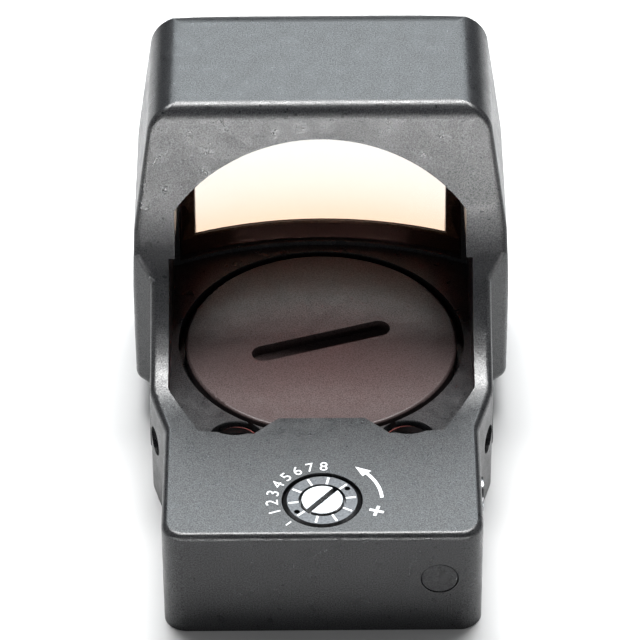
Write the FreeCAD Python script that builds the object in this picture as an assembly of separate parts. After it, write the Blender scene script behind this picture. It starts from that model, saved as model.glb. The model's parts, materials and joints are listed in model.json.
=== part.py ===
"""Compact reflex sight (red dot finder): one machined housing with an arched hood, a lens,
a coin-cell bay, and an emitter moved by an elevation and a windage screw.

Millimetres, +Z up, +Y forward through the lens, +X to the right of a person who looks through
it. While the pieces are made, Y is counted from the rear face. Each is moved back by ORIGIN_Y
when it is written, so that the origin is the middle of the base face."""
import FreeCAD, Part
import math
import os

# ---- driving dimensions ----
ORIGIN_Y = 23.0

# outside of the housing
REAR_HALF_WIDTH = 13.45
BODY_HALF_WIDTH = 14.85
HOOD_HALF_WIDTH = 16.5
BODY_STEP_Y = (13.7, 18.6)        # where the rear block widens to the body
HOOD_STEP_Y = (27.4, 29.0)        # where the body widens to the hood
SKIRT_BOTTOM_Z = 3.2              # the hood's sides stop short of the base face
FRONT_Y = 46.8
FRONT_BOW = 1.6                   # how far the corners of the front face lie behind its middle
REAR_CORNER_R = 2.0
FRONT_CORNER_R = 2.6
SKIRT_EDGE_R = 1.0
SKIRT_CORNER_R = 1.2
DECK_Z = 10.8
RAMP_START_Y = 15.5
RAMP_R = 15.5
HOOD_REAR_ANGLE = 77.0            # slope of the hood's rear face
ROOF_Z = 30.9
ROOF_CORNER_R = 2.8
SIDE_BREAK = ((16.5, 13.0), (16.25, 19.5), (14.55, 30.9))   # half-width against height
DECK_EDGE_R = 0.6
ROOF_EDGE_R = 1.5

# hood opening and lens
ARCH_R = 15.6
ARCH_CENTRE_Z = 12.35
TUNNEL_HALF_WIDTH = 12.7
TUNNEL_START_Y = 24.0
LIP_WIDTH = 1.3                   # of the front lip, which the lens rests on
SILL_Z = 8.2
SILL_LIP = 0.44                   # height of the lip along the sill
SILL_CHAMFER = 2.8
SILL_LEDGE = 0.4                  # what shows of the sill behind the lens
LENS_R = 35.0                     # of the front surface; the rear one has the same centre
LENS_CENTRE_Y = 11.38
LENS_CENTRE_Z = 18.2
LENS_THICKNESS = 2.0
LENS_GAP = 0.12
LENS_SEAL = 0.15                  # thickness of the bead between lens and lip
LENS_SEAL_SETBACK = 0.1           # how far the bead stays out of the window
LENS_SEAL_FOOT = 0.35

# the pocket over the battery cap
FLOOR_Z = 7.8
POCKET_HALF_WIDTH = 13.25
POCKET_TOP_Z = 17.6
POCKET_CORNER_R = 1.2
POCKET_STRAIGHT_Y = 25.0          # the pocket's rear corners lie behind this
TONGUE_Y = 14.95                  # front face of the deck's tongue, which holds the emitter window
TONGUE_HALF_WIDTH = 3.7
TONGUE_FLARE = (2.1, 2.0)         # sideways and rearward, to the notch beside the tongue
NOTCH_REACH = 3.1                 # from the mounting screw to the notch's outer end
NOTCH_DEPTH = 1.6
POCKET_REAR_Y = TONGUE_Y + 3.6    # where the slanted rear wall meets the side wall

# battery bay, cap and cell
BAY_Y = 28.8
BAY_FLOOR_Z = 2.05
CAP_R = 12.05
CAP_GROOVE_R = 12.65
CAP_SHOULDER_Z = 6.3
CAP_SHOULDER_GAP = 0.25
CAP_THREAD_R = 11.5
CAP_SKIRT_Z = 4.2
CAP_JOIN = 0.5                    # how far the skirt reaches up into the disc
CAP_EDGE_R = 0.25
RUNNING_GAP = 0.08
CAP_SLOT_ANGLE = 18.3
CAP_SLOT_LENGTH = 12.8
CAP_SLOT_WIDTH = 2.1
CAP_SLOT_DEPTH = 1.0
CAP_SEAL_R = 11.22
CAP_SEAL_WIRE = 0.33
CAP_SEAL_Z = 5.68
CAP_SEAL_GROOVE_Z = (5.25, 6.1)
SEAL_FLOOR_GAP = 0.01
CELL_R = 10.0
CELL_HEIGHT = 3.2
CELL_Z = 2.65
CELL_STEP_HEIGHT = 0.35
CELL_STEP_WIDTH = 1.1
CELL_SIDE_GAP = 0.35
CELL_TOP_GAP = 0.15

# contacts and insulator
SHEET = 0.15                      # thickness of both contacts and of the flat cable
INSULATOR_CELL_GAP = 0.2
INSULATOR_WALL_GAP = 0.1
INSULATOR_TOP_Z = 4.0
CLIP_HALF_WIDTH = 2.0
CLIP_CELL_GAP = 0.02
CLIP_NOTCH_GAP = 0.2
CABLE_NOTCH_GAP = 0.3
LEAF_HALF_WIDTH = 1.5
LEAF_FOOT_Y = (-5.0, -2.0)        # from the bay's centre, as the next two
LEAF_Y = (-3.0, 4.0)
LEAF_NOSE_Y = 3.0
LEAF_NOSE_R = 0.28

# underside
COVER_THICKNESS = 0.7
COVER_Y = (1.1, 40.9)
COVER_WIDE_Y = 19.0
COVER_WIDENS_Y = 11.0
COVER_REAR_HALF_WIDTH = 8.6
COVER_HALF_WIDTH = 13.7
COVER_GAP = 0.08
COVER_SCREWS = ((6.8, 3.6), (-6.8, 3.6), (11.6, 38.9), (-11.6, 38.9))
COVER_SCREW_R = 0.6
COVER_SCREW_GAP = 0.03
COVER_HOLE_GAP = 0.08
COVER_HEAD_R = 1.1
COVER_HEAD_HEIGHT = 0.45
COVER_HEAD_SINK = 0.05            # how far the heads lie above the cover's outer face
COVER_SCREW_LENGTH = 2.6
COVER_SCREW_TIP_ROOM = 0.4
COVER_SCREW_SOCKET = (0.7, 0.35)  # across flats, depth
GASKET_THICKNESS = 0.2
GASKET_WIDTH = 0.8
GASKET_HOLE_GAP = 0.15
SOCKET_R = 1.25
SOCKET_DEPTH = 2.4
SOCKET_X = 11.1
SOCKET_Y = (3.0, 43.0)

# circuit board and its parts
BOARD_Z = 1.45
BOARD_THICKNESS = 0.6
BOARD_TOP_Z = BOARD_Z + BOARD_THICKNESS
BOARD_GAP = 0.2
BOARD_SLOT_X = (11.3, 14.3)       # cut away for the switches
BOARD_SLOT_HALF_LENGTH = 4.1
BOARD_CORNER_X = (10.3, 14.3)     # cut away for the front cover screws
BOARD_CORNER_Y = 37.5
CONTROLLER = (-1.5, 1.5, 30.0, 33.0, 0.5)      # x0, x1, y0, y1, height
REGULATOR = (3.4, 5.0, 26.0, 28.9, 0.5)
LIGHT_SENSOR = (-5.4, -4.4, 27.0, 29.0, 0.45)
PASSIVE_X = (-3.5, -1.5, 0.5, 2.5)
PASSIVE_Y = 24.0
PASSIVE_SIZE = (1.0, 0.5, 0.35)

# brightness buttons and their switches
BUTTON_Y = 23.2
BUTTON_Z = 4.0
BUTTON_LENGTH = 6.4
BUTTON_HEIGHT = 3.2
BUTTON_GAP = 0.1
BUTTON_PROUD = 0.15
BUTTON_EDGE_R = 0.12
BUTTON_FLANGE_X = (12.6, 13.1)
BUTTON_FLANGE_HALF_LENGTH = 3.7
BUTTON_FLANGE_HALF_HEIGHT = 1.9
SWITCH_SLOT_X = 11.5
SWITCH_SLOT_HALF_LENGTH = 3.9
SWITCH_SLOT_TOP_Z = 6.1
SWITCH_GAP = 0.1
SWITCH_BOARD_THICKNESS = 0.5
SWITCH_BOARD_HALF_LENGTH = 3.8
SWITCH_BOARD_Z = (1.0, 6.0)
SWITCH_DOME_R = 1.4
SWITCH_DOME_HEIGHT = 0.12

# the hollow in the rear block
SLIDE_ROOM_HALF_WIDTH = 3.4
SLIDE_ROOM_Y = (2.1, 8.61)
SLIDE_ROOM_TOP_Z = 7.2
HOLDER_ROOM_X = (-4.0, 7.4)
HOLDER_ROOM_Y = (8.6, 12.4)
HOLDER_ROOM_TOP_Z = 9.4
EMITTER_ROOM_HALF_WIDTH = 3.1
EMITTER_ROOM_Y = (12.3, 14.05)
EMITTER_ROOM_TOP_Z = 9.7
CABLE_ROOM_TOP_Z = 3.2
CABLE_ROOM_END_Y = COVER_WIDE_Y + 2.0
PORT_HALF_WIDTH = 1.8
PORT_START_Y = 14.0
PORT_Z = (8.2, 9.5)
EMITTER_WINDOW_HALF_WIDTH = 2.25
EMITTER_WINDOW_Y = (TONGUE_Y - 0.6, TONGUE_Y - 0.05)
EMITTER_WINDOW_Z = (8.0, 9.7)
EMITTER_WINDOW_FIT = 0.05

# mounting screws
MOUNT_X = 7.4
MOUNT_Y = 15.65
MOUNT_HEAD_R = 2.3
MOUNT_HEAD_HEIGHT = 1.9
MOUNT_HEAD_EDGE_R = 0.5
MOUNT_HEAD_GAP = 0.15
MOUNT_SHANK_R = 1.6
MOUNT_SHANK_GAP = 0.06
MOUNT_LENGTH = 7.3
MOUNT_TOP_Z = 7.6
MOUNT_SEAT_Z = 2.3
MOUNT_BOSS_R = 2.6
MOUNT_SOCKET = (2.0, 1.1)         # across flats, depth
SCALLOP_R = 2.85

# lock screws and rear plug
LOCK_Y = 17.2
LOCK_Z = 6.3
LOCK_R = 1.3
LOCK_GAP = 0.04
LOCK_DEPTH = 2.4
LOCK_SINK = 0.45
LOCK_END_GAP = 0.1
LOCK_SOCKET = (1.2, 1.0)          # across flats, depth
PLUG_X = 9.8
PLUG_Z = 5.9
PLUG_R = 1.6
PLUG_FIT = 0.03
PLUG_SINK = 0.04
PLUG_LENGTH = 3.0
PLUG_EDGE = 0.08

# both adjusters
SHANK_R = 1.5
SHANK_BORE_R = 1.56
THREAD_R = 1.0
THREAD_BORE_R = 1.06
SEAL_GROOVE_R = 0.94
SEAL_R = 1.25
SEAL_WIRE = 0.29
DIAL_SEAT_GAP = 0.04
SLOT_WIDTH = 0.5
BALL_R = 0.36
BALL_GAP = 0.03
CLICK_SPRING_R = 0.26
CLICK_SPRING_WIRE = 0.07
CLICK_SPRING_TURNS = 4

# elevation adjuster
DIAL_Y = 4.48
DIAL_R = 3.3
DIAL_BORE_R = 3.42
DIAL_CHAMFER = 0.34
DIAL_RECESS_R = 2.0
DIAL_RECESS_DEPTH = 0.45
DIAL_SEAT_Z = 9.5
DIAL_SCREW_GAP = 0.02
DIAL_PIN_TURNS = (34.0, 214.0)
DIAL_PIN_PLACE_R = 2.55
DIAL_PIN_R = 0.25
DIAL_PIN_DEPTH = 0.5
DETENT_R = 2.7
DETENT_HALF_WIDTH = 0.3
DETENT_DEPTH = 0.24
SCREW_HEAD_R = 1.8
SCREW_PROUD = 0.05
SCREW_EDGE = 0.08
SCREW_SLOT_DEPTH = 0.55
SCREW_SLOT_TURN = 50.0
SCREW_JOIN = 0.5                  # how far one step of the screw reaches into the next
SCREW_FOOT_Z = 1.4
SEAL_GROOVE_Z = (7.95, 8.65)
CLIP_Z = 6.7
CLIP_GROOVE_DEPTH = 0.3
CLIP_GROOVE_Z = (0.2, 0.46)       # above CLIP_Z, as the clip
CLIP_RING_Z = (0.22, 0.44)
CLIP_RING_R = 2.3
CLIP_RING_FIT = 0.02
CLIP_MOUTH_HALF_WIDTH = 0.9
BALL_DROP = 0.2                   # from the dial's seat down to the ball's centre
CLICK_BORE_Z = 7.9
CLICK_SPRING_Z = (8.08, 8.84)

# windage adjuster
WINDAGE_Y = 11.0
WINDAGE_Z = 5.5
WINDAGE_DIAL_R = 2.45
WINDAGE_BORE_R = 2.55
WINDAGE_SEAT_X = 12.6
WINDAGE_DIAL_SINK = 0.05
WINDAGE_SCREW_GAP = 0.02
WINDAGE_HEAD_R = 1.5
WINDAGE_HEAD_PROUD = 0.35
WINDAGE_SHANK_R = 1.48
WINDAGE_SHANK_X = (7.45, 12.9)
WINDAGE_THREAD_X = (2.9, 8.0)
WINDAGE_SLOT_DEPTH = 0.6
WINDAGE_SEAL_GROOVE_X = (10.2, 10.9)
WINDAGE_DETENT_R = 2.02
WINDAGE_DETENT_HALF_WIDTH = 0.28
WINDAGE_DETENT_DEPTH = 0.2
WINDAGE_BALL_DROP = 0.24
WINDAGE_CLICK_BORE_X = 11.0
WINDAGE_SPRING_X = (11.1, 11.9)

# slides that carry the emitter
SLIDE_HALF_WIDTH = 3.3
SLIDE_Y = (2.4, 6.6)
SLIDE_Z = (2.8, 5.2)
SHELF_HALF_WIDTH = 2.1
SHELF_Y = (6.0, 12.2)
SHELF_Z = (4.4, 5.8)
RAIL_Y = (10.5, 11.3)
RAIL_TOP_Z = 6.2
RAIL_GAP = 0.06
RAIL_JOIN = 0.1
HOLDER_HALF_WIDTH = 1.9
HOLDER_Y = (9.0, 12.5)
HOLDER_Z = (5.85, 8.75)
ARM_X = (1.5, 4.95)
ARM_FRONT_Y = 9.7
ARM_TOP_Z = 7.1
SIDE_PLATE_X = 2.75
SIDE_PLATE_FOOT_Z = 3.9
PIN_X = 4.0
PIN_R = 0.5
PIN_GAP = 0.04
PIN_SLOT_REACH = 0.7              # how far the slot runs above and below the pin
PIN_Y = (8.85, 10.2)
NUT_X = (3.3, 6.3)
NUT_Y = (9.95, 12.2)
NUT_Z = (4.3, 6.7)
LED_HALF_WIDTH = 0.8
LED_Y = (12.5, 12.9)
LED_Z = (7.4, 8.6)
LED_DOME_Z = 8.1
LED_DOME_R = 0.35
LED_DOME_HEIGHT = 0.2
CABLE_HALF_WIDTH = 0.6
CABLE_RISE_Y = 13.35
CABLE_END_Y = COVER_WIDE_Y + 1.6
SLIDE_SPRING_X = (2.3, -2.3)
SLIDE_SPRING_R = 0.62
SLIDE_SPRING_WIRE = 0.13
SLIDE_SPRING_Z = (0.86, 2.64)
SLIDE_SPRING_TURNS = 3

# modelling helpers
TINY = 0.01
LEVEL = 0.05                      # how far off level or upright a face's direction may be
OVERSHOOT = 1.0                   # how far a cutting tool reaches past the face it opens
STEP_R = 3.0                      # fillet where the body's outline changes width


# ---- helpers ----
def box(x0, x1, y0, y1, z0, z1):
    return Part.makeBox(x1 - x0, y1 - y0, z1 - z0, FreeCAD.Vector(x0, y0, z0))


def cylinder_z(x, y, radius, z0, z1):
    return Part.makeCylinder(radius, z1 - z0, FreeCAD.Vector(x, y, z0))


def cylinder_x(y, z, radius, x0, x1):
    return Part.makeCylinder(radius, x1 - x0, FreeCAD.Vector(x0, y, z), FreeCAD.Vector(1, 0, 0))


def cylinder_y(x, z, radius, y0, y1):
    return Part.makeCylinder(radius, y1 - y0, FreeCAD.Vector(x, y0, z), FreeCAD.Vector(0, 1, 0))


def ring_z(x, y, inner, outer, z0, z1):
    return cylinder_z(x, y, outer, z0, z1).cut(cylinder_z(x, y, inner, z0, z1))


def ring_x(y, z, inner, outer, x0, x1):
    return cylinder_x(y, z, outer, x0, x1).cut(cylinder_x(y, z, inner, x0, x1))


def fuse(*shapes):
    joined = shapes[0]
    for shape in shapes[1:]:
        joined = joined.fuse(shape)
    return joined.removeSplitter()


def cut(shape, *tools):
    for tool in tools:
        shape = shape.cut(tool)
    return shape


def mirror_x(shape):
    return shape.mirror(FreeCAD.Vector(0, 0, 0), FreeCAD.Vector(1, 0, 0))


def both_sides(shape):
    return Part.makeCompound([shape, mirror_x(shape)])


def mirrored_outline(right):
    """Closes an outline that is given by its right half, from the rear to the front."""
    return right + [(-x, y) for x, y in reversed(right)]


def plate(points, z0, z1):
    """Extrudes an outline in X and Y from z0 to z1."""
    corners = [FreeCAD.Vector(x, y, z0) for x, y in points]
    wire = Part.makePolygon(corners + corners[:1])
    return Part.Face(wire).extrude(FreeCAD.Vector(0, 0, z1 - z0))


def round_uprights(shape, radius, chosen):
    """Rounds the upright edges whose foot (x, y) is chosen."""
    edges = []
    for edge in shape.Edges:
        ends = [vertex.Point for vertex in edge.Vertexes]
        upright = len(ends) == 2 and math.hypot(ends[0].x - ends[1].x, ends[0].y - ends[1].y) < TINY
        if upright and chosen(ends[0].x, ends[0].y):
            edges.append(edge)
    return shape.makeFillet(radius, edges)


def stadium_x(y, z, length, height, x0, x1):
    """A bar along X whose section is a slot with round ends: long in Y, high in Z."""
    radius = height / 2
    reach = length / 2 - radius
    middle = box(x0, x1, y - reach, y + reach, z - radius, z + radius)
    return fuse(middle, cylinder_x(y - reach, z, radius, x0, x1), cylinder_x(y + reach, z, radius, x0, x1))


def hexagon_z(x, y, across, z0, z1):
    sides = 6
    turn = 2 * math.pi / sides
    corner = across / 2 / math.cos(turn / 2)
    points = [(x + corner * math.cos(turn * k), y + corner * math.sin(turn * k)) for k in range(sides)]
    return plate(points, z0, z1)


def coil(x, y, radius, wire, z0, z1, turns):
    """A helical spring of round wire, standing along Z."""
    path = Part.makeHelix((z1 - z0) / turns, z1 - z0, radius)
    section = Part.Wire(Part.makeCircle(wire, FreeCAD.Vector(radius, 0, 0), FreeCAD.Vector(0, 1, 0)))
    spring = Part.Wire(path).makePipeShell([section], True, True)
    spring.translate(FreeCAD.Vector(x, y, z0))
    return spring


def save(name, shape):
    moved = shape.copy()
    moved.translate(FreeCAD.Vector(0, -ORIGIN_Y, 0))
    moved.exportStep(os.path.join("parts", name + ".step"))


# ---- the housing ----
def behind_front():
    """Everything behind the bowed front face: a big upright cylinder."""
    radius = (HOOD_HALF_WIDTH ** 2 + FRONT_BOW ** 2) / (2 * FRONT_BOW)
    return cylinder_z(0, FRONT_Y - radius, radius, 0, ROOF_Z)


def arch(half_width, radius, bottom_z, y0, y1):
    """An upright-sided bar with an arched top, running along Y."""
    spring_z = ARCH_CENTRE_Z + math.sqrt(radius ** 2 - half_width ** 2)
    left_foot = FreeCAD.Vector(-half_width, y0, bottom_z)
    right_foot = FreeCAD.Vector(half_width, y0, bottom_z)
    left_spring = FreeCAD.Vector(-half_width, y0, spring_z)
    right_spring = FreeCAD.Vector(half_width, y0, spring_z)
    crown = FreeCAD.Vector(0, y0, ARCH_CENTRE_Z + radius)
    outline = Part.Wire([
        Part.LineSegment(left_foot, right_foot).toShape(),
        Part.LineSegment(right_foot, right_spring).toShape(),
        Part.Arc(right_spring, crown, left_spring).toShape(),
        Part.LineSegment(left_spring, left_foot).toShape(),
    ])
    return Part.Face(outline).extrude(FreeCAD.Vector(0, y1 - y0, 0))


def lens_ball(radius):
    """A ball about the centre of the lens's curvature."""
    return Part.makeSphere(radius, FreeCAD.Vector(0, LENS_CENTRE_Y, LENS_CENTRE_Z))


def lens_circle_r(radius, z):
    """Radius of the level circle in which that ball meets height z."""
    return math.sqrt(radius ** 2 - (z - LENS_CENTRE_Z) ** 2)


def side_profile():
    """Everything under the deck, the ramp, the hood's rear face and the roof."""
    angle = math.radians(HOOD_REAR_ANGLE)
    ramp_centre_z = DECK_Z + RAMP_R
    ramp_middle = (RAMP_START_Y + RAMP_R * math.sin(angle / 2), ramp_centre_z - RAMP_R * math.cos(angle / 2))
    ramp_end = (RAMP_START_Y + RAMP_R * math.sin(angle), ramp_centre_z - RAMP_R * math.cos(angle))
    corner_y = ramp_end[0] + (ROOF_Z - ramp_end[1]) / math.tan(angle)
    tangent = ROOF_EDGE_R * math.tan(angle / 2)
    edge_foot = (corner_y - tangent * math.cos(angle), ROOF_Z - tangent * math.sin(angle))
    edge_top = (corner_y + tangent, ROOF_Z)
    edge_middle = (edge_top[0] - ROOF_EDGE_R * math.sin(angle / 2),
                   ROOF_Z - ROOF_EDGE_R + ROOF_EDGE_R * math.cos(angle / 2))
    width = 2 * (HOOD_HALF_WIDTH + OVERSHOOT)
    front = FRONT_Y + OVERSHOOT

    def at(point):
        return FreeCAD.Vector(-width / 2, point[0], point[1])

    def line(start, end):
        return Part.LineSegment(at(start), at(end)).toShape()

    outline = Part.Wire([
        line((0, 0), (0, DECK_Z)),
        line((0, DECK_Z), (RAMP_START_Y, DECK_Z)),
        Part.Arc(at((RAMP_START_Y, DECK_Z)), at(ramp_middle), at(ramp_end)).toShape(),
        line(ramp_end, edge_foot),
        Part.Arc(at(edge_foot), at(edge_middle), at(edge_top)).toShape(),
        line(edge_top, (front, ROOF_Z)),
        line((front, ROOF_Z), (front, 0)),
        line((front, 0), (0, 0)),
    ])
    return Part.Face(outline).extrude(FreeCAD.Vector(width, 0, 0))


def end_section():
    """The hood seen from behind: upright low down, leaning in above, with rounded roof corners."""
    right = [(HOOD_HALF_WIDTH, 0)] + list(SIDE_BREAK)
    points = [FreeCAD.Vector(x, 0, z) for x, z in mirrored_outline(right)]
    outline = Part.Face(Part.makePolygon(points + points[:1]))
    solid = outline.extrude(FreeCAD.Vector(0, FRONT_Y + OVERSHOOT, 0))
    top_x, top_z = SIDE_BREAK[-1]
    corners = [edge for edge in solid.Edges
               if all(abs(abs(v.Point.x) - top_x) < TINY and abs(v.Point.z - top_z) < TINY
                      for v in edge.Vertexes)]
    return solid.makeFillet(ROOF_CORNER_R, corners)


def middle_normal(face):
    u0, u1, v0, v1 = face.ParameterRange
    return face.normalAt((u0 + u1) / 2, (v0 + v1) / 2)


def faces_up(face):
    """True for the deck, the ramp, the hood's rear face and the roof, which follow on from each other."""
    normal = middle_normal(face)
    slope = math.cos(math.radians(HOOD_REAR_ANGLE))
    return abs(normal.x) < LEVEL and normal.z > slope - LEVEL


def round_top_outline(blank):
    """Rounds the edge between the deck, ramp and hood rear on one side and the walls on the other."""
    tops = [face for face in blank.Faces if faces_up(face) and face.CenterOfMass.z < ROOF_Z - ROOF_EDGE_R]
    walls = [face for face in blank.Faces if not faces_up(face) and middle_normal(face).z > -LEVEL]
    edges = [edge for top in tops for edge in top.Edges
             if any(edge.isSame(other) for wall in walls for other in wall.Edges)]
    return blank.makeFillet(DECK_EDGE_R, edges)


def rounded_front(shape):
    """Bows the front face and rounds its upright corners."""
    bowed = shape.common(behind_front()).Solids[0]
    return round_uprights(bowed, FRONT_CORNER_R, lambda x, y: y > FRONT_Y - 2 * FRONT_BOW)


def housing_blank():
    body_right = [(REAR_HALF_WIDTH, 0), (REAR_HALF_WIDTH, BODY_STEP_Y[0]),
                  (BODY_HALF_WIDTH, BODY_STEP_Y[1]), (BODY_HALF_WIDTH, FRONT_Y + OVERSHOOT)]
    body = plate(mirrored_outline(body_right), 0, ROOF_Z)
    body = round_uprights(body, REAR_CORNER_R, lambda x, y: y < TINY)
    body = round_uprights(body, STEP_R, lambda x, y: TINY < y < FRONT_Y)
    hood_right = [(BODY_HALF_WIDTH - OVERSHOOT, HOOD_STEP_Y[0]), (BODY_HALF_WIDTH, HOOD_STEP_Y[0]),
                  (HOOD_HALF_WIDTH, HOOD_STEP_Y[1]), (HOOD_HALF_WIDTH, FRONT_Y + OVERSHOOT)]
    hood = plate(mirrored_outline(hood_right), SKIRT_BOTTOM_Z, ROOF_Z)
    hood = round_uprights(hood, SKIRT_CORNER_R,
                          lambda x, y: abs(x) > HOOD_HALF_WIDTH - TINY and y < FRONT_Y)
    hood = rounded_front(hood)
    skirt_edges = [edge for edge in hood.Edges if edge.BoundBox.ZMax < SKIRT_BOTTOM_Z + TINY
                   and abs(edge.CenterOfMass.x) > BODY_HALF_WIDTH]
    hood = hood.makeFillet(SKIRT_EDGE_R, skirt_edges)
    blank = fuse(rounded_front(body), hood)
    blank = blank.common(side_profile()).common(end_section())
    return round_top_outline(blank.Solids[0])


def pocket():
    """The open pocket over the battery cap: floor level upward, with a scallop at each mounting screw."""
    right = [(TONGUE_HALF_WIDTH, TONGUE_Y), (TONGUE_HALF_WIDTH + TONGUE_FLARE[0], TONGUE_Y - TONGUE_FLARE[1]),
             (MOUNT_X + NOTCH_REACH, TONGUE_Y - NOTCH_DEPTH), (POCKET_HALF_WIDTH, POCKET_REAR_Y),
             (POCKET_HALF_WIDTH, FRONT_Y)]
    floor = plate(mirrored_outline(right), FLOOR_Z, ROOF_Z)
    floor = round_uprights(floor, POCKET_CORNER_R,
                           lambda x, y: abs(abs(x) - POCKET_HALF_WIDTH) < TINY and y < POCKET_STRAIGHT_Y)
    scallops = both_sides(cylinder_z(MOUNT_X, MOUNT_Y, SCALLOP_R, FLOOR_Z, ROOF_Z))
    ledge_r = lens_circle_r(LENS_R - LENS_THICKNESS, SILL_Z) - SILL_LEDGE
    opened = floor.common(cylinder_z(0, LENS_CENTRE_Y, ledge_r, 0, ROOF_Z))
    for scallop in scallops.Solids:
        opened = opened.fuse(scallop)
    # under the hood the pocket is no higher than the foot of the arch
    hood_wall = box(-HOOD_HALF_WIDTH, HOOD_HALF_WIDTH, TUNNEL_START_Y, FRONT_Y, POCKET_TOP_Z, ROOF_Z)
    return opened.cut(hood_wall)


def cover_outline(inset):
    """The underside recess: narrow at the rear block, wider under the battery bay."""
    return mirrored_outline([
        (COVER_REAR_HALF_WIDTH - inset, COVER_Y[0] + inset),
        (COVER_REAR_HALF_WIDTH - inset, COVER_WIDENS_Y + inset / 2),
        (COVER_HALF_WIDTH - inset, COVER_WIDE_Y + inset / 2),
        (COVER_HALF_WIDTH - inset, COVER_Y[1] - inset),
    ])


def ahead_of_channel(shape):
    """Keeps what lies ahead of the cable channel, where the recess has its full width."""
    return shape.cut(box(-HOOD_HALF_WIDTH, HOOD_HALF_WIDTH, 0, COVER_WIDE_Y, 0, FLOOR_Z))


def mechanism_cavity():
    """The hollow in the rear block that holds the two slides, and the channel for the flex cable."""
    slide_room = box(-SLIDE_ROOM_HALF_WIDTH, SLIDE_ROOM_HALF_WIDTH, *SLIDE_ROOM_Y, 0, SLIDE_ROOM_TOP_Z)
    holder_room = box(*HOLDER_ROOM_X, *HOLDER_ROOM_Y, 0, HOLDER_ROOM_TOP_Z)
    emitter_room = box(-EMITTER_ROOM_HALF_WIDTH, EMITTER_ROOM_HALF_WIDTH, *EMITTER_ROOM_Y,
                       0, EMITTER_ROOM_TOP_Z)
    cable_room = box(-EMITTER_ROOM_HALF_WIDTH, EMITTER_ROOM_HALF_WIDTH, EMITTER_ROOM_Y[0],
                     CABLE_ROOM_END_Y, 0, CABLE_ROOM_TOP_Z)
    return fuse(slide_room, holder_room, emitter_room, cable_room)


def emitter_port():
    """The port through the tongue's front wall, with a seat for its window."""
    fit = EMITTER_WINDOW_FIT
    seat = box(-EMITTER_WINDOW_HALF_WIDTH - fit, EMITTER_WINDOW_HALF_WIDTH + fit,
               EMITTER_WINDOW_Y[0] - fit, TONGUE_Y + OVERSHOOT,
               EMITTER_WINDOW_Z[0] - fit, EMITTER_WINDOW_Z[1] + fit)
    port = box(-PORT_HALF_WIDTH, PORT_HALF_WIDTH, PORT_START_Y, TONGUE_Y, *PORT_Z)
    return fuse(seat, port)


def switch_slot(top_z):
    """Right-hand side: the slot behind the button, open downward."""
    return box(SWITCH_SLOT_X, BUTTON_FLANGE_X[1] + BUTTON_GAP, BUTTON_Y - SWITCH_SLOT_HALF_LENGTH,
               BUTTON_Y + SWITCH_SLOT_HALF_LENGTH, 0, top_z)


def button_room():
    """Right-hand side: the hole that the button slides in, and the slot behind it for its switch."""
    hole = stadium_x(BUTTON_Y, BUTTON_Z, BUTTON_LENGTH + 2 * BUTTON_GAP,
                     BUTTON_HEIGHT + 2 * BUTTON_GAP, BUTTON_FLANGE_X[1], BODY_HALF_WIDTH + OVERSHOOT)
    return hole.fuse(switch_slot(SWITCH_SLOT_TOP_Z))


def lock_screw_axis():
    """Start and direction of the right-hand lock screw, square to the slanted side face."""
    slant = math.atan2(BODY_HALF_WIDTH - REAR_HALF_WIDTH, BODY_STEP_Y[1] - BODY_STEP_Y[0])
    outward = FreeCAD.Vector(math.cos(slant), -math.sin(slant), 0)
    along = (LOCK_Y - BODY_STEP_Y[0]) / (BODY_STEP_Y[1] - BODY_STEP_Y[0])
    x = REAR_HALF_WIDTH + along * (BODY_HALF_WIDTH - REAR_HALF_WIDTH)
    return FreeCAD.Vector(x, LOCK_Y, LOCK_Z), outward


def lock_bar(radius, near, far):
    """A round bar along the right lock screw, between two depths under the face."""
    start, outward = lock_screw_axis()
    return Part.makeCylinder(radius, far - near, start - outward * far, outward)


def underside_tools(bosses):
    """The recess for the cover and gasket, and above it the room for the board and the mechanism."""
    cover_room = plate(cover_outline(0), 0, COVER_THICKNESS + GASKET_THICKNESS)
    board_room = ahead_of_channel(plate(cover_outline(GASKET_WIDTH), 0, BAY_FLOOR_Z))
    return [cover_room.cut(bosses), board_room.cut(bosses), mechanism_cavity().cut(bosses)]


def bay_bores():
    """The threaded bore for the battery cap, and the wider step that its disc lies in."""
    return [cylinder_z(0, BAY_Y, CAP_THREAD_R + RUNNING_GAP, COVER_THICKNESS, FLOOR_Z + OVERSHOOT),
            cylinder_z(0, BAY_Y, CAP_GROOVE_R, CAP_SHOULDER_Z, FLOOR_Z + OVERSHOOT)]


def adjuster_bores():
    """For each dial: its seat, its screw's shank, and the blind hole of its click spring."""
    click_r = BALL_R + BALL_GAP
    windage_click_z = WINDAGE_Z + WINDAGE_DETENT_R
    return [cylinder_z(0, DIAL_Y, DIAL_BORE_R, DIAL_SEAT_Z, DECK_Z + OVERSHOOT),
            cylinder_z(0, DIAL_Y, SHANK_BORE_R, CLIP_Z, DECK_Z),
            cylinder_x(WINDAGE_Y, WINDAGE_Z, WINDAGE_BORE_R, WINDAGE_SEAT_X, REAR_HALF_WIDTH + OVERSHOOT),
            cylinder_x(WINDAGE_Y, WINDAGE_Z, SHANK_BORE_R, HOLDER_ROOM_X[1] - TINY, REAR_HALF_WIDTH),
            cylinder_z(0, DIAL_Y + DETENT_R, click_r, CLICK_BORE_Z, DIAL_SEAT_Z + TINY),
            cylinder_x(WINDAGE_Y, windage_click_z, click_r, WINDAGE_CLICK_BORE_X, WINDAGE_SEAT_X + TINY)]


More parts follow.
